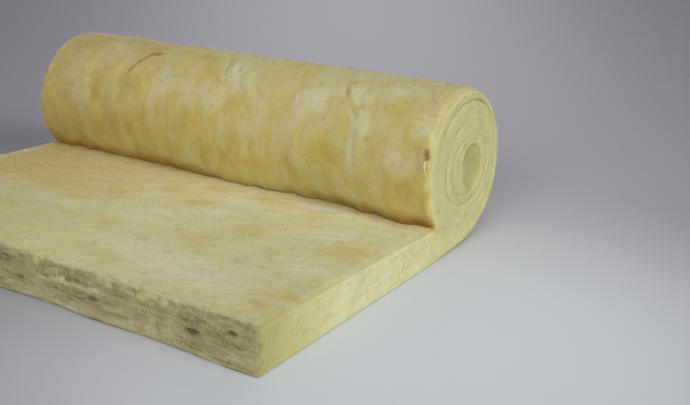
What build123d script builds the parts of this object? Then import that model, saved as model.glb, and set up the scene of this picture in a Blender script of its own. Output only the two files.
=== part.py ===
from build123d import *

import os
from math import asin, cos, degrees, radians, sin

# A glass-wool insulation blanket, partly unrolled: one strip of felted wool
# that lies flat in front and is still wound into a coil at its back.
# X runs across the blanket, along the coil. Y runs along the laid part, from
# the free end towards the coil. Z is up, and the floor is at zero. The side
# view is drawn from the line where the coil leaves the floor, and the finished
# blanket is then centred on its own length. Lengths are in millimetres.

# The blanket as it was slit and cut
blanket_width = 1200.0
laid_length = 741.0
free_end_thickness = 96.0
bearing_thickness = 83.0
laid_crown = 2.0

# The outer turn, from the floor up the back, over the top and down the front.
# The coil sags on the laid part, so its last stretch is the flattest.
back_radius = 182.0
top_radius = 183.0
front_radius = 157.0
lap_radius = 250.0

# The seam between the wound turns, round to the closed eye
wound_turns = 3
wound_thickness = 33.0
seam_start_height = 50.0
seam_start_setback = 15.0
seam_gap = 3.0
seam_depth = 22.0

# The closed eye, where the blanket starts
eye_radius = 47.0
eye_setback = 43.0
eye_height = 182.0
eye_tip_drop = 50.0
eye_depth = 10.0

# The soft rim that the turned edge has on both ends
rim_radius = 9.0

# How far a cutting shape runs past what it cuts
overrun = 5.0

FULL_TURN = 360.0
QUARTER_TURN = 90.0
QUARTERS_PER_TURN = 4


def outer_turn():
    """The outer surface of the coil as tangent arcs, from the floor to the crevice."""
    back = JernArc((0, 0), (1, 0), back_radius, QUARTER_TURN)
    top = JernArc(back @ 1, back % 1, top_radius, QUARTER_TURN)
    front = JernArc(top @ 1, top % 1, front_radius, QUARTER_TURN)
    fall = (front @ 1).Y - bearing_thickness
    lap = JernArc(front @ 1, front % 1, lap_radius, degrees(asin(fall / lap_radius)))
    return [back, top, front, lap]


def side_view():
    """The whole blanket seen from the side, laid part and coil in one outline."""
    turn = outer_turn()
    crevice = turn[-1] @ 1
    free_bottom = Vector(-laid_length, 0)
    free_top = Vector(-laid_length, free_end_thickness)
    edges = [
        Line(free_bottom, (0, 0)),
        *turn,
        SagittaArc(free_top, crevice, laid_crown),
        Line(free_top, free_bottom),
    ]
    return make_face(edges)


def seam_point(turn, offset):
    """Point beside the seam; turn 0 is under the coil, and it winds inwards to the eye."""
    share = turn / wound_turns
    radius = eye_radius + (wound_turns - turn) * wound_thickness
    first_height = seam_start_height + eye_radius + wound_turns * wound_thickness
    setback = seam_start_setback + (eye_setback - seam_start_setback) * share
    height = first_height + (eye_height - first_height) * share
    turned = radians(turn * FULL_TURN)
    return Vector(
        setback + (radius + offset) * sin(turned),
        height - (radius + offset) * cos(turned),
    )


def seam_side(offset):
    """One side of the open seam: a run out to the crevice, then an arc for each quarter turn."""
    crevice = outer_turn()[-1] @ 1
    mouth = crevice + Vector(-overrun, overrun / 2 - offset)
    quarters = wound_turns * QUARTERS_PER_TURN
    arcs = []
    for quarter in range(quarters):
        start = seam_point(quarter / QUARTERS_PER_TURN, offset)
        middle = seam_point((quarter + 0.5) / QUARTERS_PER_TURN, offset)
        end = seam_point((quarter + 1) / QUARTERS_PER_TURN, offset)
        arcs.append(ThreePointArc(start, middle, end))
    return [TangentArc(arcs[0] @ 0, mouth, tangent=(-1, 0)), *arcs]


def seam_ribbon():
    """The open seam as it shows on an end, from the crevice spirally in to the eye."""
    outer = seam_side(seam_gap / 2)
    inner = seam_side(-seam_gap / 2)
    mouth = Line(outer[0] @ 1, inner[0] @ 1)
    inner_end = Line(outer[-1] @ 1, inner[-1] @ 1)
    return make_face([*outer, *inner, mouth, inner_end])


def eye_shape():
    """The eye: round above, and pointed below where the start of the blanket folds over."""
    centre = Vector(eye_setback, eye_height)
    left = centre + Vector(-eye_radius, 0)
    right = centre + Vector(eye_radius, 0)
    top = centre + Vector(0, eye_radius)
    tip = centre + Vector(0, -eye_tip_drop)
    edges = [
        ThreePointArc(left, top, right),
        Line(right, tip),
        Line(tip, left),
    ]
    return make_face(edges)


def end_cuts(shape, depth):
    """The same cut for both ends of the blanket."""
    start = blanket_width / 2 - depth
    cut = extrude(Plane.YZ.offset(start) * shape, amount=depth + overrun)
    return [cut, mirror(cut, about=Plane.YZ)]


def wool_blanket():
    """The blanket in one solid: its side view run across the width, with its two ends cut."""
    blanket = extrude(Plane.YZ * side_view(), amount=blanket_width / 2, both=True)
    arcs = blanket.edges().filter_by(GeomType.CIRCLE)
    turned_edges = arcs.filter_by(lambda arc: arc.radius <= lap_radius)
    blanket = fillet(turned_edges, rim_radius)
    for cut in end_cuts(seam_ribbon(), seam_depth):
        blanket -= cut
    for cut in end_cuts(eye_shape(), eye_depth):
        blanket -= cut
    return Pos(0, (laid_length - back_radius) / 2, 0) * blanket


os.makedirs("parts", exist_ok=True)
export_step(wool_blanket(), "parts/wool_blanket.step")
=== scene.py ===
import math

import bmesh
import bpy
import numpy as np
from mathutils import Matrix, Vector


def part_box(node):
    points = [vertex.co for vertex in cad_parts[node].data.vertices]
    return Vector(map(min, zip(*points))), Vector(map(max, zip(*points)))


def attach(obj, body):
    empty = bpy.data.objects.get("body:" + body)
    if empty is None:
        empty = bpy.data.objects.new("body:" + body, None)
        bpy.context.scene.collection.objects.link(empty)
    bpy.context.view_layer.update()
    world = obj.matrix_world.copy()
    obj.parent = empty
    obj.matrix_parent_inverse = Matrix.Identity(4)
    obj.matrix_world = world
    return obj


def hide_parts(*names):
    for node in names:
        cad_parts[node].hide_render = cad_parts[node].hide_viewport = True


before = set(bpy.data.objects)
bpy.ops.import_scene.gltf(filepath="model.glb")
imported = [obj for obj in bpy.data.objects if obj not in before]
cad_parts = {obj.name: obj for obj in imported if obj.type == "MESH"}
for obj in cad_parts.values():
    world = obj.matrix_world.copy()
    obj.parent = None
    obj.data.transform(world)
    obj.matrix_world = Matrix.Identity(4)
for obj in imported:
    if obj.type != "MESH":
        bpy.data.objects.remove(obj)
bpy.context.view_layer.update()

# The blanket: one strip of glass wool, felted from fine yellow fibre and slit to width. It lies flat
# in front, and behind it stays wound as it came off the line, sagging a little on the laid part.
# Nothing faces, wraps or ties it, so its turns touch and their seam shows on both ends.
lowest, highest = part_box("wool_blanket")
half_width = highest.x
free_end = lowest.y
back_radius = 0.182
top_radius = 0.183
front_radius = 0.157
lap_radius = 0.250
coil_foot = highest.y - back_radius
free_end_thickness = 0.096
bearing_thickness = 0.083
laid_crown = 0.002

STEPS_PER_TURN = 144
STEPS_PER_QUARTER = STEPS_PER_TURN // 4


def outer_turn(degrees):
    """Points of the coil's outer surface: 0 on the floor, 90 at the back, 180 on top, 270 in front."""
    radii = (back_radius, top_radius, front_radius, lap_radius)
    turned = np.radians(degrees)
    y, z = coil_foot, back_radius
    points = np.zeros((len(degrees), 2))
    for quarter, radius in enumerate(radii):
        here = degrees >= quarter * 90
        arc = np.stack([y + radius * np.sin(turned), z - radius * np.cos(turned)], 1)
        points[here] = arc[here]
        if quarter < 3:
            corner = math.radians((quarter + 1) * 90)
            y += (radius - radii[quarter + 1]) * math.sin(corner)
            z -= (radius - radii[quarter + 1]) * math.cos(corner)
    return points


def smooth_through(values, places):
    """A smooth line through evenly spaced values, read at places counted in their spacing."""
    line = np.array([values[0], *values, values[-1]])
    start = np.clip(np.floor(places).astype(int), 0, len(values) - 2)
    before, here, there, after = (line[start + i] for i in range(4))
    t = places - start
    return 0.5 * (
        2 * here
        + (there - before) * t
        + (2 * before - 5 * here + 4 * there - after) * t ** 2
        + (3 * here - before - 3 * there + after) * t ** 3
    )


# Where the coil comes down on the laid part, its skin tucks into a nip, and there the seam begins.
front_height = back_radius + top_radius - front_radius
crevice_degrees = 270 + math.degrees(math.asin((front_height - bearing_thickness) / lap_radius))
crevice_steps = round((360 - crevice_degrees) * STEPS_PER_TURN / 360)
crevice = outer_turn(np.array([crevice_degrees]))[0]
nip_depth = 0.012
nip_way = np.array([0.87, -0.5])
nip = crevice + nip_depth * nip_way

# The seam inside the coil, as its distance from a pole inside the eye at each quarter turn, from
# under the coil inwards. The last five are the outline of the eye itself.
seam_pole = np.array([coil_foot + 0.020, 0.185])
seam_quarters = np.array([135, 135, 151, 140, 112, 113, 105, 105, 87, 92, 70, 78, 65, 70, 42, 24, 46]) / 1000
WANDERS_PER_QUARTER = 3
wander_count = WANDERS_PER_QUARTER * len(seam_quarters)
quarters_turned = np.arange((len(seam_quarters) - 1) * STEPS_PER_QUARTER + 1) / STEPS_PER_QUARTER
wander_places = quarters_turned * WANDERS_PER_QUARTER
wound = np.radians(quarters_turned * 90)
hand_wound = np.random.default_rng(7)
seam_wander = smooth_through(hand_wound.uniform(-0.0016, 0.0016, wander_count), wander_places)
seam_radii = smooth_through(seam_quarters, quarters_turned) + seam_wander
seam_turns = seam_pole + seam_radii[:, None] * np.stack([np.sin(wound), -np.cos(wound)], 1)
bend = (np.arange(crevice_steps) / crevice_steps)[:, None]
bend_length = np.linalg.norm(seam_turns[0] - nip)
under_coil = (
    (1 + 2 * bend) * (1 - bend) ** 2 * nip
    + bend * (1 - bend) ** 2 * bend_length * np.array([0.9, -0.45])
    + bend ** 2 * (3 - 2 * bend) * seam_turns[0]
    + bend ** 2 * (bend - 1) * bend_length * np.array([1.0, 0.0])
)
seam = np.concatenate([under_coil, seam_turns])

# Edges: a cut edge is nearly sharp and a wound one is soft. Where two faces meet at a radius, three
# lines of points lie at these shares of it from the edge, and edge_drop says how far under the face.
cut_edge = 0.004
long_edge = 0.014
coil_edge = 0.016
nip_edge = 0.010
edge_shares = np.array([1 - math.sin(math.radians(degrees)) for degrees in (45.0, 22.5, 0.0)])


def nearness(distance, reach):
    """1 at no distance, falling softly to nearly nothing at about twice the reach."""
    return np.exp(-(distance / reach) ** 2)


def edge_drop(distance, radius):
    """How far a rounded edge lies under its face, at a distance from the edge."""
    left = np.clip(1 - distance / radius, 0, 1)
    return radius * (1 - np.sqrt(1 - left ** 2))


laid_steps = 104
lip = 0.003
past_edge = 0.009
laid_y = np.concatenate([
    free_end + cut_edge * edge_shares,
    np.linspace(free_end + past_edge, crevice[0] - lip, laid_steps - len(edge_shares)),
])
shares = (laid_y - free_end) / (crevice[0] - free_end)
laid_z = free_end_thickness + (bearing_thickness - free_end_thickness) * shares
laid_z += laid_crown * 4 * shares * (1 - shares)
end_drop = edge_drop(laid_y - free_end, cut_edge)
laid_top = np.stack([laid_y, laid_z - end_drop], 1)
floor_line = np.stack([
    np.concatenate([laid_y, np.linspace(crevice[0], coil_foot, crevice_steps + 1)[:-1]]),
    np.concatenate([end_drop, np.zeros(crevice_steps)]),
], 1)
outer_steps = STEPS_PER_TURN - crevice_steps
lip_degrees = math.degrees(lip / lap_radius)
outer = outer_turn(np.linspace(0, crevice_degrees - lip_degrees, outer_steps))
tuck_reach = 0.040
tuck = np.clip(1 - np.linalg.norm(outer - crevice, axis=1) / tuck_reach, 0, 1) ** 2
outer += 0.8 * nip_depth * tuck[:, None] * nip_way

# The strip from its free end to its start in the eye: its lower and its upper face, as it lies
# unrolled, matched point for point.
turns = (len(seam) - 1 - crevice_steps) // STEPS_PER_TURN
inner_end = crevice_steps + (turns - 1) * STEPS_PER_TURN + 1
below = np.concatenate([floor_line, outer, seam[:inner_end]])
above = np.concatenate([laid_top, seam])
first_coil = len(floor_line)
first_seam = first_coil + outer_steps
thickness = np.linalg.norm(above - below, axis=1)
across_way = (above - below) / thickness[:, None]
middle_line = (above + below) / 2
along = np.concatenate([[0], np.cumsum(np.linalg.norm(np.diff(middle_line, axis=0), axis=1))])

ROWS = 24
coil_rows = [0, 1, 2, 5, 8, 12, 16, 19, 22, 23, 24]
seam_insets = np.array([0.0, 0.0022, 0.0060])
radius_below = np.full(len(below), coil_edge)
radius_below[:first_coil] = cut_edge
radius_below[laid_steps:first_coil] = np.linspace(cut_edge, coil_edge, crevice_steps)
insets_below = radius_below[:, None] * edge_shares
insets_below[first_seam:] = seam_insets
radius_above = np.full(len(above), long_edge)
radius_above[:6] = np.linspace(cut_edge, long_edge, 6)
insets_above = radius_above[:, None] * edge_shares
insets_above[laid_steps:] = seam_insets
middle_rows = np.linspace(0, 1, ROWS - 3)[1:-1]
low_row = insets_below[:, 2:]
high_row = thickness[:, None] - insets_above[:, 2:]
row_places = np.concatenate([
    insets_below,
    low_row + (high_row - low_row) * middle_rows,
    thickness[:, None] - insets_above[:, ::-1],
], 1)

# The mesh: each point is x, y, z, then its place along the strip, its place through the thickness
# from 0 to 1, how much it belongs to a cut face, how deep it lies in the seam, and whether it
# belongs to the eye.
points = []


def add_points(*columns):
    """Adds points, given as like-shaped arrays of their values, and returns their numbers."""
    shaped = np.broadcast_arrays(*columns)
    first = sum(len(group) for group in points)
    points.append(np.stack([column.ravel() for column in shaped], 1))
    return np.arange(first, first + shaped[0].size).reshape(shaped[0].shape)


def quads(grid):
    """Faces between neighbouring points of a grid of point numbers."""
    corners = [grid[:-1, :-1], grid[1:, :-1], grid[1:, 1:], grid[:-1, 1:]]
    return np.stack(corners, -1).reshape(-1, 4).tolist()


front_places = row_places[0, 1:-1]
end_height = thickness[0]
front = np.stack([
    free_end + edge_drop(np.minimum(front_places, end_height - front_places), cut_edge),
    below[0, 1] + front_places,
], 1)
profile = np.concatenate([below[:first_seam], [nip], laid_top[::-1], front[::-1]])
profile_along = np.concatenate([along[:first_seam + 1], along[:laid_steps][::-1], np.zeros(len(front))])
profile_across = np.concatenate([
    np.zeros(first_seam), [0.5], np.ones(laid_steps), front_places[::-1] / end_height,
])
profile_cut = np.concatenate([np.zeros(first_seam + 1 + laid_steps), np.ones(len(front))])
profile_edge = np.concatenate([
    radius_below[:first_seam], [nip_edge], radius_above[:laid_steps][::-1], np.full(len(front), cut_edge),
])
ahead = np.roll(profile, -1, axis=0) - np.roll(profile, 1, axis=0)
inward = np.stack([-ahead[:, 1], ahead[:, 0]], 1) / np.linalg.norm(ahead, axis=1)[:, None]
inward[first_seam] = 0

COLUMNS = 256
flat_margin = 0.018
flat_half = half_width - flat_margin
side_x = half_width - profile_edge[:, None] * edge_shares
flat_x = np.linspace(-flat_half, flat_half, COLUMNS)
skin_x = np.concatenate([-side_x, np.tile(flat_x, (len(profile), 1)), side_x[:, ::-1]], 1)
skin_drop = edge_drop(half_width - np.abs(skin_x), profile_edge[:, None])
at_edge = skin_drop / profile_edge[:, None] / edge_shares[0] / 2
skin = add_points(
    skin_x, profile[:, :1] + inward[:, :1] * skin_drop, profile[:, 1:] + inward[:, 1:] * skin_drop,
    profile_along[:, None], profile_across[:, None], np.maximum(profile_cut[:, None], at_edge), 0.0, 0.0,
)
faces = quads(np.concatenate([skin, skin[:1]]))

# The ends: the seam's edges roll in to its own depth, which differs from place to place.
seam_drops = np.array([1.0, 0.16, 0.0])
seam_depths = np.array([10, 40, 62, 10, 10, 18, 16, 45, 45, 10, 14, 36, 20, 20, 50, 20, 30]) / 10000
depth_shares = np.clip(smooth_through(hand_wound.uniform(-0.2, 1.9, wander_count), wander_places), 0.15, 1.7)
seam_depth = smooth_through(seam_depths, quarters_turned) * depth_shares
seam_depth = np.concatenate([np.full(crevice_steps, seam_depth[0]), seam_depth])
depth_below = np.concatenate([np.zeros(first_seam), seam_depth[:inner_end]])
depth_above = np.concatenate([np.zeros(laid_steps), seam_depth])
inner_places = row_places[:, 1:-1]
cap_y = below[:, :1] + across_way[:, :1] * inner_places
cap_z = below[:, 1:] + across_way[:, 1:] * inner_places
steps = np.arange(len(below))[:, None]
cap_drop = np.maximum(
    edge_drop(inner_places, radius_below[:, None]) * (steps < first_seam),
    edge_drop(thickness[:, None] - inner_places, radius_above[:, None]) * (steps < laid_steps),
)
cap_drop = np.maximum(cap_drop, edge_drop(below[:, :1] - free_end, cut_edge))
cap_drop[:, :2] += depth_below[:, None] * seam_drops[1:]
cap_drop[:, -2:] += depth_above[:, None] * seam_drops[:0:-1]
crown = 4 * inner_places * (thickness[:, None] - inner_places) / thickness[:, None] ** 2
crown_height = 0.0010
cap_drop += crown_height * (1 - crown) * (steps >= laid_steps)

# Beside the eye the felt has split along its middle for a third of a turn.
split_middle = first_seam + round(2.72 * STEPS_PER_TURN)
split_reach = STEPS_PER_TURN / 6
split_depth = 0.0035
cap_drop[:, ROWS // 2 - 1] += split_depth * nearness(steps[:, 0] - split_middle, split_reach)

eye_centre = np.array([coil_foot + 0.043, 0.182])
eye_shares = [0.05, 0.12, 0.28, 0.50, 0.75]
eye_drops = [0.0035, 0.0060, 0.0065, 0.0055, 0.0050]

for side, edge in ((-1, 0), (1, -1)):
    seam_numbers = add_points(
        side * (half_width - seam_depth[1:]), seam[1:, 0], seam[1:, 1], along[laid_steps + 1:],
        0.0, 1.0, seam_depth[1:] / max(seam_depths), 0.0,
    )
    seam_numbers = np.concatenate([[skin[first_seam, edge]], seam_numbers])
    low = np.concatenate([skin[:first_seam, edge], seam_numbers[:inner_end]])
    high = np.concatenate([skin[first_seam + 1:first_seam + 1 + laid_steps, edge][::-1], seam_numbers])
    inner = add_points(
        side * (half_width - cap_drop), cap_y, cap_z, along[:, None],
        inner_places / thickness[:, None], 1.0, 0.0, 0.0,
    )
    cap = np.concatenate([low[:, None], inner, high[:, None]], 1)
    cap[0, 1:-1] = skin[-len(front):, edge][::-1]
    faces += quads(cap[:first_coil])
    faces += quads(cap[first_coil:, coil_rows])
    for start, end in zip(coil_rows, coil_rows[1:]):
        joined = list(cap[first_coil - 1, start:end + 1])
        faces.append([int(n) for n in (*joined, cap[first_coil, end], cap[first_coil, start])])

    last_rows = coil_rows[1:-1][::-1]
    ring = np.concatenate([seam_numbers[inner_end - 1:], cap[-1, last_rows]])
    eye_line = np.concatenate([
        seam[inner_end - 1:],
        np.stack([cap_y[-1], cap_z[-1]], 1)[[row - 1 for row in last_rows]],
    ])
    for share, drop in zip(eye_shares, eye_drops):
        ring_x = side * (half_width - drop)
        ring_y, ring_z = (eye_centre + (eye_line - eye_centre) * (1 - share)).T
        next_ring = add_points(ring_x, ring_y, ring_z, along[-1], share, 1.0, 0.0, 1.0)
        faces += quads(np.stack([np.append(ring, ring[0]), np.append(next_ring, next_ring[0])]))
        ring = next_ring
    middle = int(add_points(ring_x, *eye_centre, along[-1], 1.0, 1.0, 0.0, 1.0))
    for start, end in zip(ring, np.roll(ring, -1)):
        faces.append([int(start), int(end), middle])

points = np.concatenate(points)
x, y, z, strip_along, strip_across, strip_cut = points[:, :6].T

# Slow swells across the width, each at evenly spaced places from one end to the other: the crevice
# wanders and its lip is tattered, the top and front of the coil bulge, its left end stands out a
# little, and the free end isn't cut quite straight.
crevice_swell = np.array([-3, 1, -2, 3, 2, 0, -2, -4, 5, 12, 5, -10, -5]) / 1000
top_swell = np.array([0, 4, 5, 1, 3, 4, 2, 4, 3, 5, 3, 4, 0]) / 1000
front_swell = np.array([15, 7, 1, 2, -2, 1, 3, 0, -3, 2, 0, 2, 0]) / 1000
free_end_swell = np.array([3, -2, -4, 1, 3, -3, -1, 3, -2, 2, 3, -1, 0]) / 1000
tatter_height = 0.0095
crevice_tatters = tatter_height * np.random.default_rng(11).uniform(-1.0, 0.95, 57) ** 3
width_share = (x + half_width) / (2 * half_width)


def swell(values):
    """Slow swell at each point, from its values across the width."""
    return smooth_through(values, width_share * (len(values) - 1))


from_crevice = np.hypot(y - crevice[0], z - crevice[1])
from_front = np.hypot(y - crevice[0] + 0.02, z - 0.17)
from_top = np.hypot(y - coil_foot, z - back_radius - top_radius)
move_y = swell(crevice_swell) * nearness(from_crevice, 0.07)
move_y += swell(crevice_tatters) * nearness(from_crevice, 0.020)
move_y -= swell(front_swell) * nearness(from_front, 0.09)
move_y += swell(free_end_swell) * nearness(y - free_end, 0.05)
move_z = swell(top_swell) * nearness(from_top, 0.13)
points[:, 1] += move_y
points[:, 2] += move_z

# Folds that winding made in the outer turn, each from one x and degrees to the next with its depth,
# and rolls that bulge from it, as x, degrees, reach across, reach round and height. The one with a
# height below zero is the hollow that the torn flap has left. Lengths are in millimetres.
folds = [
    ((-30, 188), (-18, 204), 1.6), ((-18, 204), (12, 222), 2),
    ((52, 222), (100, 246), 1.2), ((325, 200), (345, 214), 1.8),
    ((345, 214), (392, 233), 2.4), ((-300, 232), (-330, 262), 1.4),
    ((230, 262), (215, 290), 2.5), ((400, 250), (405, 285), 3),
]
rolls = [
    (30, 306, 70, 18, 5), (170, 311, 50, 14, 4.5), (-330, 306, 90, 20, 4),
    (480, 300, 60, 24, 3.5), (584, 256, 10, 11, -10), (250, 228, 30, 50, 2.5),
    (400, 262, 10, 80, 2), (-460, 240, 50, 60, 2.5),
]
degrees_round = np.linspace(0, crevice_degrees - lip_degrees, outer_steps)
along_coil = along[first_coil:first_seam]


def on_strip(place_x, degrees):
    """A place on the outer turn, from x in millimetres and degrees, as x and its place along the strip."""
    return np.array([place_x / 1000, np.interp(degrees, degrees_round, along_coil)])


fold_reach = 0.008
ridge_place = 0.015
ridge_reach = 0.010
bulge = np.zeros(len(points))
for fold_start, fold_end, depth in folds:
    start, end = on_strip(*fold_start), on_strip(*fold_end)
    length = np.linalg.norm(end - start)
    way = (end - start) / length
    done = np.clip((x - start[0]) * way[0] + (strip_along - start[1]) * way[1], 0, length)
    apart_x = x - start[0] - way[0] * done
    apart_along = strip_along - start[1] - way[1] * done
    apart = np.hypot(apart_x, apart_along)
    beside = apart_x * way[1] - apart_along * way[0]
    past_end = np.maximum(apart - np.abs(beside), 0)
    depth /= 1000
    bulge -= depth * nearness(apart, fold_reach)
    bulge += 0.8 * depth * nearness(beside - ridge_place, ridge_reach) * nearness(past_end, ridge_reach)
for roll_mm, roll_degrees, *sizes in rolls:
    reach_across, reach_round, height = np.array(sizes) / 1000
    roll_x, roll_along = on_strip(roll_mm, roll_degrees)
    from_roll = np.hypot((x - roll_x) / reach_across, (strip_along - roll_along) / reach_round)
    bulge += height * nearness(from_roll, 1)
bulge *= (strip_across < 0.01) * (strip_along > along_coil[0]) * (strip_cut < 0.99)
outward = points[:, 1:3] - seam_pole
points[:, 1:3] += bulge[:, None] * outward / np.hypot(*outward.T)[:, None]

# Places on the free end where a tuft has come out, as x, height, reach and depth in millimetres.
torn_pits = [
    (452, 45, 6, 9), (205, 46, 4, 5), (140, 61, 3, 4), (70, 56, 4, 5),
    (0, 40, 3.5, 5), (-130, 55, 4, 6), (-290, 40, 4, 6), (-430, 62, 4, 6),
    (545, 70, 3.5, 4), (-60, 72, 3, 4),
]
pit_stretch = 2.8
on_free_end = np.clip((free_end + 0.012 - y) / 0.008, 0, 1)
pit = np.zeros(len(points))
for pit_x, height, reach, depth in np.array(torn_pits) / 1000:
    here = nearness(np.hypot((x - pit_x) / pit_stretch, z - height), reach) * on_free_end
    points[:, 1] += depth * here
    pit = np.maximum(pit, here)

# Where the felt differs from the rest, as patches: bare pale fibre, and ochre where the binder is
# thick. On the coil each is x, degrees round it, and its reach across and round. On the laid part it
# is x, distance in front of the coil foot, and its reach across and along. All are in millimetres.
coil_patches = {
    "pale": [
        (-460, 243, 50, 70), (-360, 214, 60, 35), (-160, 233, 60, 35), (-20, 236, 70, 40),
        (250, 232, 30, 70), (300, 226, 18, 50), (375, 214, 18, 35), (400, 266, 14, 85),
        (410, 238, 30, 30), (520, 266, 40, 30), (565, 232, 30, 40), (480, 200, 50, 30),
        (20, 212, 30, 30), (-200, 262, 12, 60), (100, 268, 14, 60),
    ],
    "ochre": [
        (330, 268, 40, 50), (-570, 232, 40, 90), (470, 224, 40, 30), (160, 187, 30, 50),
        (-80, 198, 90, 30), (-400, 256, 16, 22), (-520, 205, 40, 30), (60, 240, 30, 25),
        (540, 280, 60, 50), (-570, 196, 60, 60), (-460, 188, 60, 25), (500, 188, 100, 40),
        (-340, 187, 80, 35), (-260, 196, 110, 30), (-575, 262, 35, 60), (-300, 275, 90, 40),
        (120, 282, 200, 30), (-30, 215, 20, 20),
    ],
}
laid_patches = {
    "pale": [
        (-90, 260, 30, 25), (-40, 320, 30, 20), (150, 330, 50, 25), (80, 390, 50, 30),
        (50, 460, 50, 35), (520, 480, 60, 50), (450, 300, 50, 40), (-200, 480, 80, 30),
        (160, 240, 50, 30), (360, 170, 90, 25), (200, 600, 120, 50), (-350, 200, 60, 40),
        (380, 620, 100, 60), (-420, 500, 80, 80),
    ],
    "ochre": [
        (-30, 270, 35, 22), (-120, 360, 35, 25), (90, 310, 45, 25), (300, 380, 40, 30),
        (530, 370, 60, 40), (50, 200, 45, 25), (575, 615, 28, 20), (545, 665, 25, 18),
        (-420, 280, 80, 70), (-300, 380, 100, 50), (160, 660, 40, 15), (20, 530, 30, 20),
        (-550, 240, 60, 70), (200, 190, 60, 20), (-460, 560, 90, 60), (-530, 170, 70, 50),
        (-480, 400, 100, 60),
    ],
}
patch_layers = []
for kind in ("pale", "ochre"):
    places = [
        (patch_x, *outer_turn(np.array([float(degrees)]))[0], *reaches)
        for patch_x, degrees, *reaches in coil_patches[kind]
    ]
    places += [
        (patch_x, coil_foot - ahead_of_foot / 1000, bearing_thickness, *reaches)
        for patch_x, ahead_of_foot, *reaches in laid_patches[kind]
    ]
    total = np.zeros(len(points))
    for patch_x, patch_y, patch_z, reach_across, reach_along in places:
        from_patch_across = (x - patch_x / 1000) / (reach_across / 1000)
        from_patch_along = np.hypot(y - patch_y, z - patch_z) / (reach_along / 1000)
        total += nearness(np.hypot(from_patch_across, from_patch_along), 1)
    patch_layers.append(np.clip(total, 0, 1))

# The front of the coil, and the painted shade of the nip: how near a point is to it, on the coil and, wider,
# on the laid part.
on_lower = strip_across < 0.6
on_upper = strip_across > 0.9
front_begins = along[first_coil + round(outer_steps * 0.66)]
front_ends = along[first_seam]
coil_front = np.clip((strip_along - front_begins) / (front_ends - front_begins), 0, 1)
coil_front *= (strip_along <= front_ends + 0.001) * on_lower
wandering_y = crevice[0] + swell(crevice_swell) + swell(crevice_tatters)
from_nip = np.hypot(y - wandering_y, z - crevice[1])
nip_shade = nearness(from_nip, 0.027) * on_lower * (1 - strip_cut)
nip_shade += 0.65 * nearness(from_nip, 0.045) * on_upper
# Less painted shade where the coil's lower edge stands out into the light.
nip_shade *= 1 - 0.6 * nearness(x - 0.14, 0.17)
# Painted light: near the nip the pale layer is raised on the laid top, which the coil overhangs.
patch_layers[0] = np.clip(patch_layers[0] + 0.35 * nearness(from_nip, 0.080) * on_upper, 0, 1)
points = np.column_stack([points, *patch_layers, coil_front, nip_shade, pit])
layer_names = ("along", "across", "cut", "seam", "eye", "pale", "ochre", "coil_front", "nip", "pit")


def add_object(name, data):
    """A new object at the origin, linked to the scene."""
    made = bpy.data.objects.new(name, data)
    bpy.context.scene.collection.objects.link(made)
    return made


blanket_mesh = bpy.data.meshes.new("glass_wool_blanket")
blanket_mesh.from_pydata(points[:, :3].tolist(), [], faces)
for column, name in enumerate(layer_names, 3):
    layer = blanket_mesh.attributes.new(name, "FLOAT", "POINT")
    layer.data.foreach_set("value", points[:, column].astype(np.float32))
blanket = add_object("glass_wool_blanket", blanket_mesh)
shape = bmesh.new()
shape.from_mesh(blanket_mesh)
unused = [vert for vert in shape.verts if not vert.link_faces]
bmesh.ops.delete(shape, geom=unused, context="VERTS")
bmesh.ops.recalc_face_normals(shape, faces=shape.faces)
floor_faces = [face for face in shape.faces if all(vert.co.z < 0.00001 for vert in face.verts)]
bmesh.ops.dissolve_faces(shape, faces=floor_faces, use_verts=True)
shape.to_mesh(blanket_mesh)
shape.free()
blanket_mesh.shade_smooth()


def linear(hex_colour):
    """An sRGB hex colour in linear values, with its alpha."""
    channels = [int(hex_colour[i:i + 2], 16) / 255 for i in (1, 3, 5)]
    return [c / 12.92 if c <= 0.04045 else ((c + 0.055) / 1.055) ** 2.4 for c in channels] + [1.0]


def fill(socket, value):
    """Gives an input a value, a colour from its hex, or a link from an output or from a new node."""
    if isinstance(value, tuple) and isinstance(value[0], str):
        value = node(socket.id_data, *value)
    if isinstance(value, bpy.types.NodeSocket):
        socket.id_data.links.new(value, socket)
    elif value is not None:
        is_hex = isinstance(value, str) and value.startswith("#")
        socket.default_value = linear(value) if is_hex else value


def node(tree, kind, *values, **settings):
    """Adds a node, its operation after a colon, and gives its first output in use.

    The values fill its inputs in use in their order. None leaves one as it is, and a tuple that
    starts with a kind is a node of its own.
    """
    kind, _, operation = kind.partition(":")
    families = ("ShaderNode", "GeometryNode", "FunctionNode", "")
    family = next(family for family in families if hasattr(bpy.types, family + kind))
    added = tree.nodes.new(family + kind)
    if operation:
        added.operation = operation
    for field, setting in settings.items():
        setattr(added, field, setting)
    for socket, value in zip([socket for socket in added.inputs if socket.enabled], values):
        fill(socket, value)
    return next((socket for socket in added.outputs if socket.enabled), None)


def add_tree(name, kind, **sockets):
    """A node group with its inputs by name and type, and one output, and gives its inputs too."""
    tree = bpy.data.node_groups.new(name, kind)
    for socket, socket_type in sockets.items():
        in_out = "OUTPUT" if socket == "Result" else "INPUT"
        tree.interface.new_socket(socket, in_out=in_out, socket_type="NodeSocket" + socket_type)
    return tree, node(tree, "NodeGroupInput").node.outputs


def shape_by(tree, holder, values):
    """Runs a geometry tree with its inputs set, and keeps the mesh that comes out."""
    modifier = holder.modifiers.new(tree.name, "NODES")
    modifier.node_group = tree
    for item in tree.interface.items_tree:
        if item.name in values:
            modifier[item.identifier] = values[item.name]
    evaluated = holder.evaluated_get(bpy.context.evaluated_depsgraph_get())
    mesh = bpy.data.meshes.new_from_object(evaluated)
    mesh.name = holder.name
    holder.modifiers.clear()
    holder.data = mesh


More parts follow.
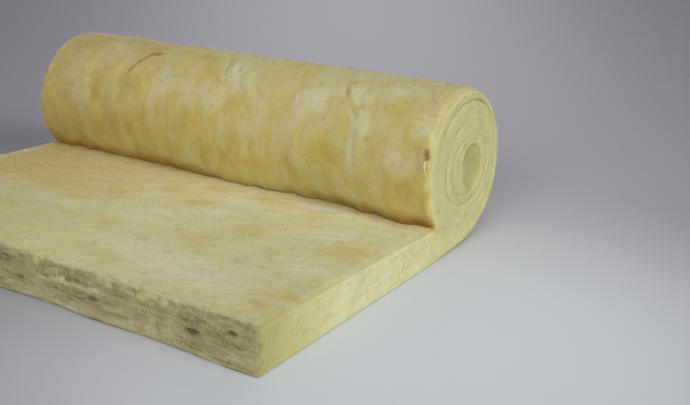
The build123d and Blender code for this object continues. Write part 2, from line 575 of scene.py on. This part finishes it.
# The surface of the wool, by one rule over the whole mesh: it is lumpy, pleats where it is wound
# tight, is combed across the laid top, and shows its felted layers as pillows with creases between
# them on its cut faces. The upper edge of the free end is torn. Where it lies on the floor it is flat.
wool = bpy.data.materials.new("felted glass wool")
relief_sizes = {
    "Lump size": 0.110, "Lump height": 0.0045, "Tuft size": 0.030, "Tuft height": 0.0020,
    "Pleat pitch": 0.034, "Pleat height": 0.0034, "Combed width": 0.026, "Combed height": 0.0026,
    "Layers": 7.0, "Layer height": 0.0045, "Tear size": 0.026, "Tear reach": 0.009,
    "Free end": free_end, "Free end thickness": free_end_thickness,
}
relief, given = add_tree(
    "wool relief", "GeometryNodeTree",
    Geometry="Geometry", **dict.fromkeys(relief_sizes, "Float"), Result="Geometry",
)
place = node(relief, "InputPosition")
facing = node(relief, "InputNormal")
place_x, _, place_z = node(relief, "SeparateXYZ", place).node.outputs
facing_y = node(relief, "SeparateXYZ", facing).node.outputs[1]
felt = {}
for name in ("along", "across", "cut", "coil_front"):
    felt[name] = node(relief, "InputNamedAttribute", name)
on_skin = node(relief, "Math:SUBTRACT", 1.0, felt["cut"])

# Each kind of unevenness is a noise about its middle, in its own stretched places.
pleat_across = ("Math:DIVIDE", place_x, given["Pleat pitch"])
pleat_place = node(relief, "CombineXYZ", pleat_across, ("Math:MULTIPLY", felt["along"], 6.0))
combed_along = ("Math:DIVIDE", felt["along"], given["Combed width"])
combed_place = node(relief, "CombineXYZ", ("Math:MULTIPLY", place_x, 9.0), combed_along)
lump_place = node(relief, "VectorMath:DIVIDE", place, given["Lump size"])
tuft_place = node(relief, "VectorMath:DIVIDE", place, given["Tuft size"])
rise = 0.0
for noise_place, share, height in (
    (lump_place, 1.0, given["Lump height"]),
    (tuft_place, 1.0, given["Tuft height"]),
    (pleat_place, ("Math:MULTIPLY", felt["coil_front"], on_skin), given["Pleat height"]),
    (combed_place, ("Math:MULTIPLY", felt["across"], on_skin), given["Combed height"]),
):
    noise = node(relief, "TexNoise", noise_place, 1.0, 1.5)
    noise = node(relief, "Math:SUBTRACT", noise, 0.5)
    noise = node(relief, "Math:MULTIPLY", noise, share)
    rise = node(relief, "Math:MULTIPLY_ADD", noise, height, rise)

# The layers slant and fade as they run, so that they read as long lenses.
run = node(relief, "Math", place_x, felt["along"])
slant_place = ("CombineXYZ", ("Math:MULTIPLY", run, 7.0), ("Math:MULTIPLY", felt["across"], 1.6))
slant = ("TexNoise", slant_place, 1.0, 2.0)
fade_place = ("CombineXYZ", ("Math:MULTIPLY", run, 11.0), ("Math:MULTIPLY", felt["across"], 3.0), 7.0)
fade = ("MapRange", ("TexNoise", fade_place, 1.0, 1.0), 0.40, 0.62)
layers_up = ("Math:MULTIPLY", felt["across"], given["Layers"])
layer = node(relief, "Math:FRACT", ("Math:MULTIPLY_ADD", slant, 4.5, layers_up))
pillow = ("Math:MULTIPLY", layer, ("Math:SUBTRACT", 1.0, layer))
pillow = ("Math:POWER", ("Math:MULTIPLY", pillow, 4.0), 0.6)
on_cut = ("Math:MULTIPLY", ("Math", ("MapRange", facing_y, -0.3, -0.9), 0.18), felt["cut"])
crease = node(relief, "Math:SUBTRACT", 1.0, pillow)
for factor in (fade, on_cut):
    crease = node(relief, "Math:MULTIPLY", crease, factor)
rise = node(relief, "Math:SUBTRACT", rise, ("Math:MULTIPLY", crease, given["Layer height"]))
rise = node(relief, "Math:MULTIPLY", rise, ("MapRange", place_z, 0.0, 0.012))
offset = node(relief, "VectorMath:SCALE", facing, rise)

# Near the upper edge of the free end, tufts reach out and hang over, or are gone.
edge_place = ("CombineXYZ", place_x, given["Free end"], given["Free end thickness"])
edge_way = ("VectorMath:DISTANCE", place, edge_place)
near_edge = node(relief, "MapRange", edge_way, 0.0, 0.034, 1.0, 0.0, interpolation_type="SMOOTHSTEP")
tear_place = ("VectorMath:DIVIDE", place, given["Tear size"])
tears = node(relief, "TexNoise", tear_place, 1.0, 3.0).node.outputs["Color"]
tears = ("VectorMath:MULTIPLY", ("VectorMath:SUBTRACT", tears, (0.5, 0.5, 0.54)), (0.2, 1.0, 0.8))
tears = ("VectorMath:SCALE", tears, ("Math:MULTIPLY", near_edge, given["Tear reach"]))
offset = node(relief, "VectorMath:ADD", offset, tears)
raised = node(relief, "StoreNamedAttribute", given["Geometry"], None, "crease", crease)
raised = node(relief, "SetPosition", raised, None, None, offset)
raised = node(relief, "RealizeInstances", raised)
raised = node(relief, "SetMaterial", raised, None, wool)
node(relief, "NodeGroupOutput", raised)
shape_by(relief, blanket, relief_sizes)
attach(blanket, "root")
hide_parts("wool_blanket")

# Glass wool: fibres of clear glass a few thousandths of a millimetre thick, felted as they fall and
# stuck with a binder that cures yellow to brown. To the eye it is matt and soft, cream where the
# felt is loose, ochre where the binder is thick, and nearly white where bare fibre lies on top.
wool.use_nodes = True
tree = wool.node_tree
shader = tree.nodes["Principled BSDF"]
at = node(tree, "TexCoord").node.outputs["Object"]
at_x, at_y, at_z = node(tree, "SeparateXYZ", at).node.outputs
masks = {}
for name in (*layer_names, "crease"):
    masks[name] = node(tree, "Attribute", attribute_name=name).node.outputs["Fac"]

# Where a point lies on the unrolled strip: across it, along it, and on the free end how high.
on_front = node(tree, "MapRange", at_y, free_end + 0.016, free_end + 0.006)
unrolled = ("CombineXYZ", at_x, masks["along"], ("Math:MULTIPLY", at_z, on_front))
waver = node(tree, "TexNoise", at, 1 / 0.050, 3.0).node.outputs["Color"]
waver = ("VectorMath:SUBTRACT", waver, (0.5, 0.5, 0.5))
wavered = node(tree, "VectorMath:MULTIPLY_ADD", waver, (0.022, 0.022, 0.022), unrolled)
combed_turn = ("Math:MULTIPLY", masks["across"], -0.40)
felted = node(tree, "VectorRotate", wavered, None, combed_turn, rotation_type="Z_AXIS")

# Patterns, each by its size in metres across and along the strip on its lower and its upper face.
# The lower face is the outside of the coil, and winding has drawn it round. The upper face is the
# laid top, and it is combed aslant. Fibre is drawn at 2 mm, as single ones are too fine.
patterns = {}
for name, lower_size, upper_size, through_size, detail, roughness in (
    ("drift", (0.130, 0.170), (0.240, 0.120), 0.150, 2.0, 0.5),
    ("patch", (0.040, 0.058), (0.085, 0.034), 0.050, 5.0, 0.55),
    ("tint", (0.050, 0.080), (0.130, 0.040), 0.080, 4.0, 0.6),
    ("streak", (0.006, 0.020), (0.034, 0.007), 0.012, 4.0, 0.60),
    ("fibre", (0.002, 0.006), (0.010, 0.002), 0.003, 3.0, 0.7),
):
    lower_scale = (1 / lower_size[0], 1 / lower_size[1], 1 / through_size)
    upper_scale = (1 / upper_size[0], 1 / upper_size[1], 1 / through_size)
    scale = node(tree, "Mix", masks["across"], lower_scale, upper_scale, data_type="VECTOR", label=name)
    pattern_place = ("VectorMath:MULTIPLY", felted, scale)
    patterns[name] = node(tree, "TexNoise", pattern_place, 1.0, detail, roughness)
layers_run = ("Math:MULTIPLY", ("Math", at_x, masks["along"]), 11.0)
layers_place = ("CombineXYZ", layers_run, ("Math:MULTIPLY", masks["across"], 7.0))
lens_place = ("VectorMath:MULTIPLY", wavered, (1 / 0.085, 1 / 0.085, 1 / 0.022))
for name, pattern_place, *noise in (
    ("layers", layers_place, 1.0, 5.0, 0.65, None, 0.6), ("grain", at, 1 / 0.004, 4.0, 0.65),
    ("cloud", at, 1 / 0.055, 4.0, 0.6), ("lens", lens_place, 1.0, 5.0, 0.65),
):
    patterns[name] = node(tree, "TexNoise", pattern_place, *noise)
torn_patch = node(tree, "MapRange", patterns["patch"], 0.43, 0.57, interpolation_type="SMOOTHSTEP")
combed = ("Math:MULTIPLY", ("Math:SUBTRACT", patterns["streak"], 0.5), masks["across"])
bare = ("MapRange", ("Math:MULTIPLY_ADD", patterns["patch"], 1.3, masks["pale"]), 0.98, 1.34)
lower_face = ("Math:SUBTRACT", 1.0, masks["across"])
# Painted light: the skin of the coil pales towards the right, where the light is stronger.
painted_light_right = ("Math:MULTIPLY", ("MapRange", at_x, -0.25, 0.25), lower_face)

# Each face of the strip has a tone, from 0 where binder is thick to 1 where fibre is bare. Some terms are
# painted light and shade, as noted, and some are slow gradients along the strip, across the width or up the
# free end.
tones = {
    "skin": (0.54, [
        (patterns["drift"], 0.5, 0.50), (patterns["patch"], 0.5, 0.34), (torn_patch, 0.5, 0.08),
        (patterns["streak"], 0.5, 0.11), (combed, 0.0, 0.24), (patterns["fibre"], 0.5, 0.08),
        (masks["pale"], 0.0, 0.10), (bare, 0.0, 0.13), (masks["ochre"], 0.0, -0.19),
        # Painted shade darkens the front of the coil as it turns under, painted light pales the skin to the
        # right, and the skin darkens towards the back.
        (masks["coil_front"], 0.0, -0.27), (at_y, 0.0, -0.15), (painted_light_right, 0.0, 0.10),
    ]),
    "ends": (0.42, [
        (patterns["layers"], 0.5, 0.6), (patterns["cloud"], 0.5, 0.7), (patterns["grain"], 0.5, 0.25),
        (("MapRange", masks["along"], 0.40, 0.80, 1.0, 0.0), 0.0, 0.33),
        (("MapRange", masks["along"], 0.00, 0.26, 1.0, 0.0), 0.0, -0.38),
        # Painted shade darkens the sunken eye and the seam between the turns.
        (masks["eye"], 0.0, -0.35), (masks["seam"], 0.0, -0.35),
    ]),
    "free end": (0.50, [
        (patterns["layers"], 0.5, 0.6), (patterns["lens"], 0.5, 1.5), (patterns["grain"], 0.5, 0.3),
        # Painted shade darkens the creases between layers and the pits where tufts came out.
        (masks["crease"], 0.0, -0.40), (masks["pit"], 0.0, -0.7),
        (("MapRange", at_z, 0.060, 0.012), 0.35, 0.16),
    ]),
}
ramps = {
    "skin": ["#8F772F", "#A4924A", "#AC9F62", "#B0A779", "#B4AC8A", "#BBB49A"],
    "ends": ["#A8A05F", "#BAB378", "#C4BE88", "#CCC99A", "#D1D2AD"],
    # The free end is darker, partly for its denser cut felt and partly as painted shade for a face turned
    # from the light.
    "free end": ["#564D2F", "#7A724C", "#928C65", "#A19D79", "#AFAD8C"],
}
face_colours = {}
for face, (tone, parts) in tones.items():
    for value, middle, weight in parts:
        shifted = node(tree, "Math:SUBTRACT", value, middle)
        tone = node(tree, "Math:MULTIPLY_ADD", shifted, weight, tone)
    face_colours[face] = node(tree, "ValToRGB", tone, label=face)
    ramp = face_colours[face].node.color_ramp
    for step, hex_colour in enumerate(ramps[face]):
        position = step / (len(ramps[face]) - 1)
        stop = ramp.elements[step] if step < 2 else ramp.elements.new(position)
        stop.position = position
        stop.color = linear(hex_colour)

# The faces meet along torn borders. Over them go the yellow that binder leaves, the warm rim where the skin
# turns over, dust with painted contact shade along the lower edge of the free end, and the painted shade of
# the nip, warm where it reaches onto the laid top. Painted light raises the laid top towards the nip, and
# painted shade darkens the far left and the upper rim.
border_noise = node(tree, "Math:SUBTRACT", ("TexNoise", at, 1 / 0.024, 4.0, 0.6), 0.5)
low_front = node(tree, "MapRange", masks["coil_front"], 0.35, 0.9)
high_up = node(tree, "Math:SUBTRACT", 1.0, low_front)
from_middle = node(tree, "Math:ABSOLUTE", at_x)
over_edge = ("MapRange", from_middle, half_width - 0.045, half_width - 0.006, 0.0, 0.42)
over_edge = node(tree, "Math:MULTIPLY_ADD", low_front, -0.5, over_edge, use_clamp=True)
at_free_end = ("MapRange", at_y, free_end + 0.030, free_end + 0.014)
off_side = ("MapRange", from_middle, half_width - 0.003, half_width - 0.010)
over_edge = ("Math:SUBTRACT", over_edge, ("Math:MULTIPLY", at_free_end, off_side))
ends_mask = ("Math:MULTIPLY_ADD", border_noise, 1.5, masks["cut"])
ends_mask = node(tree, "MapRange", ("Math", ends_mask, over_edge), 0.15, 0.85)
free_mask = ("Math:MULTIPLY", ("Math:SUBTRACT", free_end + 0.010, at_y), 80.0)
near_top = ("MapRange", at_z, 0.064, 0.096)
for value, weight in ((near_top, -0.3), (masks["pit"], 1.5), (border_noise, 1.8)):
    free_mask = node(tree, "Math:MULTIPLY_ADD", value, weight, free_mask)
free_mask = node(tree, "MapRange", free_mask, 0.0, 0.5)
cut_rim = node(tree, "Math:MULTIPLY", ("Math:SUBTRACT", 1.0, masks["cut"]), masks["cut"])
# Painted shade of the nip: dark brown on the coil, and a warm bounce colour where it reaches onto the laid
# top.
nip_mask = ("MapRange", ("Math:MULTIPLY_ADD", border_noise, 0.6, masks["nip"]), 0.15, 1.0)
nip_colour = node(tree, "Mix", masks["across"], "#8A6710", "#BE9C4C", data_type="RGBA")
upper_tint = patterns["tint"]
for value, weight in ((masks["pale"], 0.22), (masks["ochre"], -0.22)):
    upper_tint = node(tree, "Math:MULTIPLY_ADD", value, weight, upper_tint)
upper_tint = node(tree, "MapRange", upper_tint, 0.32, 0.70)
upper_colour = node(tree, "Mix", upper_tint, "#D0C279", "#DCDAB8", data_type="RGBA")
along_side = ("MapRange", masks["along"], 0.20, -0.02)
# Painted light: the laid top grows paler towards the nip, where the coil overhangs it.
painted_light_towards_nip = ("MapRange", masks["along"], 0.20, 0.58, 0.52, 1.0)
left = ("MapRange", at_x, 0.20, -0.35)
laid_back = ("MapRange", masks["along"], 0.24, 0.52)
# Dust and painted contact shade along the foot of the free end, in places.
low_edge = ("MapRange", at_z, 0.0055, 0.0015)
dust_and_shade_places = ("MapRange", patterns["cloud"], 0.40, 0.56)
colour = face_colours["skin"]
for label, (mask, *others), strength, coat in (
    ("upper face", (masks["across"], painted_light_towards_nip), 0.90, upper_colour),
    ("laid back left", (left, laid_back, masks["across"]), 0.50, "#C6A94E"),
    # Painted shade: the left end, farther from the light, is darker.
    ("painted shade far left", (("MapRange", at_x, 0.00, -0.60),), 0.56, "#897748"),
    ("yellow binder", (("MapRange", patterns["tint"], 0.50, 0.68),), 0.40, "#B6A950"),
    ("ends", (ends_mask,), 1.0, face_colours["ends"]),
    ("end of the side", (along_side, ends_mask), 0.85, "#A8A05F"),
    # Painted shade on the upper rim, where the rounded edge would catch the light.
    ("painted shade on upper rim", (cut_rim, high_up), 2.0, "#A1985F"),
    ("warm rim", (cut_rim, low_front), 2.2, "#B7A152"),
    ("free end", (free_mask,), 1.0, face_colours["free end"]),
    # Dust with painted contact shade along the lower edge of the free end.
    ("dust and painted shade on lower edge", (low_edge, on_front, dust_and_shade_places), 0.75, "#574C2C"),
    ("nip", (nip_mask,), 1.0, nip_colour),
):
    for other in others:
        mask = node(tree, "Math:MULTIPLY", mask, other)
    mask = node(tree, "Math:MULTIPLY", mask, strength, use_clamp=True)
    colour = node(tree, "Mix", mask, colour, coat, data_type="RGBA", label=label)

# A drawn line: how near a place is to the line from its start to its end, which fades at its width.
drawn, given = add_tree(
    "drawn line", "ShaderNodeTree",
    Place="Vector", Start="Vector", End="Vector", Width="Float", Result="Float",
)
from_start = node(drawn, "VectorMath:SUBTRACT", given["Place"], given["Start"])
whole = node(drawn, "VectorMath:SUBTRACT", given["End"], given["Start"])
along_line = node(drawn, "VectorMath:DOT_PRODUCT", from_start, whole)
whole_squared = node(drawn, "VectorMath:DOT_PRODUCT", whole, whole)
line_share = node(drawn, "Math:DIVIDE", along_line, whole_squared, use_clamp=True)
off_line = ("VectorMath:DISTANCE", from_start, ("VectorMath:SCALE", whole, line_share))
amount = node(drawn, "MapRange", off_line, 0.0, given["Width"], 1.0, 0.0, interpolation_type="SMOOTHSTEP")
node(drawn, "NodeGroupOutput", amount)

# Marks on the wool, each from one place on the strip to another with its width and strength: a drop of
# over-cured binder with the scratch that it left, and stains. Others are painted light and shade: painted
# shade in the folds that winding made and painted highlight on their ridges, painted shade in the torn
# hollow and under the coil at the nip, and on the free end painted shade in the splits between layers and a
# painted highlight on a ridge. On the coil a place is x and degrees round it, on the laid top x and distance
# in front of the coil foot, and on the free end x and height. Lengths are in millimetres.
marks = {
    "coil": [
        ("drop of binder", (-268, 204), (-251, 203), 16, 1.00, "#9E5428"),
        ("scratch", (-272, 206), (-288, 214), 8.5, 0.90, "#7C6430"),
        ("scratch", (-288, 214), (-300, 227), 7.8, 0.85, "#7C6430"),
        ("scratch", (-300, 227), (-304, 231), 9, 0.50, "#A0683A"),
        ("stain", (-401, 250), (-399, 258), 26, 0.45, "#9C7030"),
        # Painted shadow under the coil's left end, where it turns in at the nip.
        ("painted shade under coil", (-595, 290), (-520, 299), 22, 0.55, "#8A6620"),
        ("painted shade under coil", (-520, 299), (-360, 303), 20, 0.45, "#8A6620"),
        # Painted shade in the folds, and painted highlight on the ridges beside them.
        ("painted shade in fold", (-30, 188), (-18, 204), 5.5, 0.28, "#86773F"),
        ("painted shade in fold", (-18, 204), (12, 222), 5.5, 0.32, "#86773F"),
        ("painted highlight on ridge", (-6, 206), (24, 224), 6, 0.40, "#CFC69C"),
        ("painted shade in fold", (52, 222), (100, 246), 4.5, 0.25, "#8A7B45"),
        ("painted shade in fold", (325, 200), (345, 214), 5.5, 0.25, "#86773F"),
        ("painted shade in fold", (345, 214), (392, 233), 5.5, 0.32, "#86773F"),
        ("painted highlight on ridge", (352, 210), (392, 226), 7.5, 0.45, "#CBC3A2"),
        # Painted shade in the hollow that the torn flap left.
        ("painted shade in torn place", (583, 253), (586, 259), 11, 0.80, "#5E4720"),
        ("painted shade in torn place", (566, 250), (574, 266), 16, 0.45, "#8A7340"),
    ],
    "laid": [
        ("yellow stain", (568, 610), (584, 616), 16, 0.55, "#BC9E48"),
        ("brown stain", (530, 658), (552, 668), 20, 0.35, "#9F8B50"),
        ("fibre line", (110, 335), (200, 332), 4, 0.50, "#CFC8AC"),
        ("fibre line", (520, 440), (560, 445), 4, 0.50, "#CFC8AC"),
        ("fibre line", (-250, 400), (-170, 405), 5, 0.45, "#CFC8AC"),
    ],
    "front": [
        ("brown tuft", (402, 93), (412, 83), 11, 0.65, "#6E5528"),
        # Painted highlight on a ridge of the cut face.
        ("painted highlight on ridge", (60, 54), (223, 64), 7.5, 0.60, "#BDB890"),
        # Painted shade in the splits between felt layers.
        ("painted shade in layer split", (176, 40), (221, 46), 6.2, 0.75, "#5A5130"),
        ("painted shade in layer split", (-60, 47), (-2, 35), 7, 0.60, "#6A5E38"),
        ("painted shade in layer split", (65, 48), (102, 42), 6.2, 0.45, "#6A6038"),
        ("painted shade in layer split", (312, 87), (333, 89), 6.2, 0.40, "#6A6038"),
        ("painted shade in layer split", (515, 56), (560, 47), 5, 0.60, "#6E5B2E"),
        ("painted shade in layer split", (500, 44), (530, 40), 4.5, 0.50, "#6E5B2E"),
        ("painted shade in layer split", (430, 74), (520, 70), 6, 0.40, "#7A6836"),
    ],
}
for face, face_marks in marks.items():
    for label, start, end, width, strength, hex_colour in face_marks:
        mark_ends = []
        for mark_x, mark_place in (start, end):
            if face == "coil":
                mark_ends.append((*on_strip(mark_x, mark_place).tolist(), 0.0))
            elif face == "laid":
                mark_ends.append((mark_x / 1000, coil_foot - mark_place / 1000 - free_end, 0.0))
            else:
                mark_ends.append((mark_x / 1000, 0.0, mark_place / 1000))
        mask = node(tree, "Group", wavered, *mark_ends, width / 1000, node_tree=drawn, label=label)
        mask = node(tree, "Math:MULTIPLY", mask, strength)
        colour = node(tree, "Mix", mask, colour, hex_colour, data_type="RGBA")
fibre_shade = node(tree, "MapRange", patterns["fibre"], 0.30, 0.70, 0.945, 1.05)
colour = node(tree, "VectorMath:SCALE", colour, fibre_shade)

# Light catches the edges of felt patches, then streaks, then fibre.
bumps = None
for name, distance, strength in (
    ("patch", 0.0060, 0.30), ("streak", 0.0025, 0.25), ("grain", 0.0016, 0.27), ("fibre", 0.0010, 0.20),
):
    bumps = node(tree, "Bump", strength, distance, None, patterns[name], bumps)
for name, value in {
    "Base Color": colour, "Normal": bumps, "Roughness": 0.92, "Specular IOR Level": 0.25,
    "Sheen Weight": 0.12, "Sheen Roughness": 0.5, "Sheen Tint": "#E8E2C4", "Subsurface Weight": 0.2,
    "Subsurface Radius": (0.012, 0.009, 0.004), "Subsurface Scale": 1.0,
}.items():
    fill(shader.inputs[name], value)

# The torn flap: a tongue of the felt that has come away at the near rim of the coil and curls down
# from the hollow that it left. It is as pale as the felt inside.
flap_degrees = np.linspace(259.0, 273.0, 9)
flap_shares = np.linspace(0, 1, 9)
flap_widths = [0.0036, 0.0040, 0.0034, 0.0026, 0.0024, 0.0016, 0.0018, 0.0012, 0.0006]
flap_places = [0.5830, 0.5850, 0.5858, 0.5878, 0.5880, 0.5900, 0.5896, 0.5914, 0.5920]
flap_lifts = [-0.0050, 0.0005, 0.0034, 0.0048, 0.0046, 0.0036, 0.0024, 0.0014, 0.0006]
flap_points = []
for (flap_y, flap_z), share, flap_x, flap_width, flap_lift in zip(
    outer_turn(flap_degrees), flap_shares, flap_places, flap_widths, flap_lifts,
):
    out = np.array([flap_y - seam_pole[0], flap_z - seam_pole[1]])
    out /= np.linalg.norm(out)
    for edge in (-1.0, -0.4, 0.3, 1.0):
        lift = flap_lift + 0.0022 * edge * share - 0.0010 * edge ** 2
        flap_points.append((flap_x + flap_width * edge, flap_y + out[0] * lift, flap_z + out[1] * lift))
flap_faces = quads(np.arange(len(flap_points)).reshape(len(flap_degrees), 4))
flap_mesh = bpy.data.meshes.new("torn_flap")
flap_mesh.from_pydata(flap_points, [], flap_faces)
for name in ("cut", "along"):
    layer = flap_mesh.attributes.new(name, "FLOAT", "POINT")
    layer.data.foreach_set("value", np.ones(len(flap_points), np.float32))
flap_mesh.materials.append(wool)
flap = add_object("torn_flap", flap_mesh)
thicken = flap.modifiers.new("thickness", "SOLIDIFY")
thicken.thickness = 0.0018
thicken.offset = 0.0
soften = flap.modifiers.new("soft edges", "SUBSURF")
soften.levels = 2
soften.render_levels = 2
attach(flap, "root")

# Loose fibres: strands that winding, handling and the saw have drawn out of the felt. They lie on it
# in slight bows, few on the skins, more on the ends and most along the torn free end. A strand is
# drawn far thicker than the real one, and stands for a bundle of them.
fibre_sizes = (
    "Per square metre", "Length", "Thickness", "Lift", "On skins", "On ends", "On free end", "Free end",
)
strands, given = add_tree(
    "loose fibres", "GeometryNodeTree",
    Geometry="Geometry", **dict.fromkeys(fibre_sizes, "Float"), Seed="Int", Result="Geometry",
)
_, strand_y, strand_z = node(strands, "SeparateXYZ", ("InputPosition",)).node.outputs
wound_tight = ("MapRange", ("InputNamedAttribute", "coil_front"), 0.45, 0.85, 1.0, 0.15)
above_floor = ("Math:GREATER_THAN", strand_z, 0.004)
at_end = ("MapRange", ("Math:SUBTRACT", strand_y, given["Free end"]), 0.014, 0.030, 1.0, 0.0)
density = node(strands, "Mix", ("InputNamedAttribute", "cut"), given["On skins"], given["On ends"])
density = node(strands, "Mix", at_end, density, given["On free end"])
for factor in (given["Per square metre"], above_floor, wound_tight):
    density = node(strands, "Math:MULTIPLY", density, factor)
spots = node(strands, "DistributePointsOnFaces", given["Geometry"], None, density, given["Seed"])
half_length = node(strands, "Math:MULTIPLY", given["Length"], 0.5)
sunk = node(strands, "Math:MULTIPLY", given["Thickness"], -1.0)
bow_start = ("CombineXYZ", ("Math:MULTIPLY", given["Length"], -0.5), 0.0, sunk)
bow_middle = ("CombineXYZ", 0.0, half_length, ("Math:MULTIPLY", given["Lift"], 2.0))
bow_end = ("CombineXYZ", half_length, 0.0, sunk)
bow = node(strands, "CurveQuadraticBezier", 4, bow_start, bow_middle, bow_end)
half_thickness = ("Math:MULTIPLY", given["Thickness"], 0.5)
section = node(strands, "CurvePrimitiveCircle", 3, half_thickness)
strand = node(strands, "CurveToMesh", bow, section, None, True)
draws = []
for least, most in (((-0.20, -0.20, 0.0), (0.20, 0.20, 6.283)), ((0.45, 0.10, 0.30), (1.50, 1.20, 1.40))):
    draws.append(node(strands, "RandomValue", least, most, None, given["Seed"], data_type="FLOAT_VECTOR"))
spin, stretch = draws
way = node(strands, "RotateRotation", spots.node.outputs["Rotation"], spin, rotation_space="LOCAL")
fibres = node(strands, "InstanceOnPoints", spots, None, strand, None, None, way, stretch)
fibres = node(strands, "RealizeInstances", fibres)
kept_up = ("VectorMath:MAXIMUM", ("InputPosition",), (-9.0, -9.0, 0.0))
fibres = node(strands, "SetPosition", fibres, None, kept_up)
drawn_fibre = bpy.data.materials.new("drawn glass fibre")
fibres = node(strands, "SetMaterial", fibres, None, drawn_fibre)
node(strands, "NodeGroupOutput", fibres)

for label, values in {
    "fibres_on_skins": {
        "Per square metre": 4000.0, "Length": 0.022, "Thickness": 0.0006, "Lift": 0.0010,
        "On skins": 1.0, "On ends": 0.0, "On free end": 0.0, "Seed": 3,
    },
    "fibres_on_cut_faces": {
        "Per square metre": 9000.0, "Length": 0.015, "Thickness": 0.0005, "Lift": 0.0010,
        "On skins": 0.0, "On ends": 0.6, "On free end": 3.4, "Seed": 8,
    },
}.items():
    loose_fibres = add_object(label, blanket.data.copy())
    shape_by(strands, loose_fibres, {"Free end": free_end, **values})
    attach(loose_fibres, "root")

# Drawn glass fibre: clear glass that shines a little and takes its yellow from what lies under it.
drawn_fibre.use_nodes = True
tree = drawn_fibre.node_tree
shader = tree.nodes["Principled BSDF"]
fibre_at = node(tree, "TexCoord").node.outputs["Object"]
fibre_tone = ("MapRange", ("TexNoise", fibre_at, 1 / 0.030, 3.0, 0.6), 0.38, 0.62)
_, fibre_y, fibre_z = node(tree, "SeparateXYZ", fibre_at).node.outputs
below_coil = ("MapRange", fibre_z, 0.115, 0.100)
above_side = ("MapRange", fibre_z, 0.076, 0.084)
behind_front = ("MapRange", fibre_y, free_end + 0.006, free_end + 0.014)
on_laid = ("Math:MULTIPLY", ("Math:MULTIPLY", below_coil, above_side), behind_front)
colour = node(tree, "Mix", fibre_tone, "#B3A66F", "#C3BA92", data_type="RGBA")
colour = node(tree, "Mix", on_laid, colour, "#D2CAA2", data_type="RGBA")
for name, value in {"Base Color": colour, "Roughness": 0.55, "Specular IOR Level": 0.35}.items():
    fill(shader.inputs[name], value)

# The studio: seamless paper on the floor, with painted light: it is palest beside the roll and darker far
# away and to the sides, standing in for light falling off. Wide soft lamps lie far off to the right, in
# front, above and behind.
floor_half = 30
floor_corners = [(x * floor_half, y * floor_half, 0) for x, y in ((-1, -1), (1, -1), (1, 1), (-1, 1))]
floor_mesh = bpy.data.meshes.new("floor")
floor_mesh.from_pydata(floor_corners, [], [(0, 1, 2, 3)])
floor = add_object("floor", floor_mesh)
paper = bpy.data.materials.new("backdrop paper")
paper.use_nodes = True
tree = paper.node_tree
shader = tree.nodes["Principled BSDF"]
painted_pool_centre = (0.77, -0.20, 0.0)
floor_at = node(tree, "TexCoord").node.outputs["Object"]
band_side_way = (0.824, 0.566, 0.0)
from_palest = ("VectorMath:SUBTRACT", floor_at, painted_pool_centre)
off_middle = ("Math:ABSOLUTE", ("VectorMath:DOT_PRODUCT", from_palest, band_side_way))
away = node(tree, "VectorMath:DISTANCE", floor_at, painted_pool_centre)
off_middle = ("Math:DIVIDE", off_middle, ("Math:MULTIPLY_ADD", away, 0.13, 0.92))
shaded = node(tree, "MapRange", off_middle, 0.0, 1.5, interpolation_type="SMOOTHSTEP")
away = node(tree, "MapRange", away, 0.10, 1.05, interpolation_type="SMOOTHSTEP")
middle_colour = node(tree, "Mix", away, "#D0D6DA", "#B2B0B5", data_type="RGBA")
side_colour = node(tree, "Mix", away, "#D3D6DA", "#7D7A81", data_type="RGBA")
colour = node(tree, "Mix", shaded, middle_colour, side_colour, data_type="RGBA")
for name, value in {"Base Color": colour, "Roughness": 0.9, "Specular IOR Level": 0.2}.items():
    fill(shader.inputs[name], value)
floor_mesh.materials.append(paper)

world = bpy.data.worlds.new("studio")
bpy.context.scene.world = world
world.use_nodes = True
background = world.node_tree.nodes["Background"]
fill(background.inputs["Color"], "#E6E6EC")
fill(background.inputs["Strength"], 0.38)
lit_place = Vector((0, 0, 0.1))
for name, place, spread, strength in (
    ("right lamp", (3.6, -0.3, 1.9), 30, 1.73),
    ("front lamp", (0.8, -5.4, 1.8), 36, 1.95),
    ("top lamp", (1.3, -0.8, 3.4), 40, 0.20),
    ("back lamp", (-1.5, 4.0, 2.0), 50, 0.38),
):
    lamp_data = bpy.data.lights.new(name, "SUN")
    lamp_data.energy = strength
    lamp_data.angle = math.radians(spread)
    lamp = add_object(name, lamp_data)
    lamp.location = place
    lamp.rotation_euler = (lit_place - lamp.location).to_track_quat("-Z", "Y").to_euler()

bpy.context.scene.view_settings.view_transform = "Standard"

# The camera, as the photograph was taken.
camera_place = Vector((1.5320, -1.6152, 0.8298))
pitch = 0.334278
yaw = -0.582579
roll = 0.010850
focal_pixels = 987.53
photo_width = 690
sensor_width = 36.0
camera_data = bpy.data.cameras.new("camera")
camera_data.sensor_width = sensor_width
camera_data.lens = focal_pixels * sensor_width / photo_width
camera = add_object("camera", camera_data)
forward = Vector((math.sin(yaw) * math.cos(pitch), math.cos(yaw) * math.cos(pitch), -math.sin(pitch)))
level = forward.cross(Vector((0, 0, 1))).normalized()
upright = level.cross(forward)
right = level * math.cos(roll) + upright * math.sin(roll)
up = upright * math.cos(roll) - level * math.sin(roll)
turn = Matrix((right, up, -forward)).transposed()
camera.matrix_world = Matrix.Translation(camera_place) @ turn.to_4x4()
bpy.context.scene.camera = camera
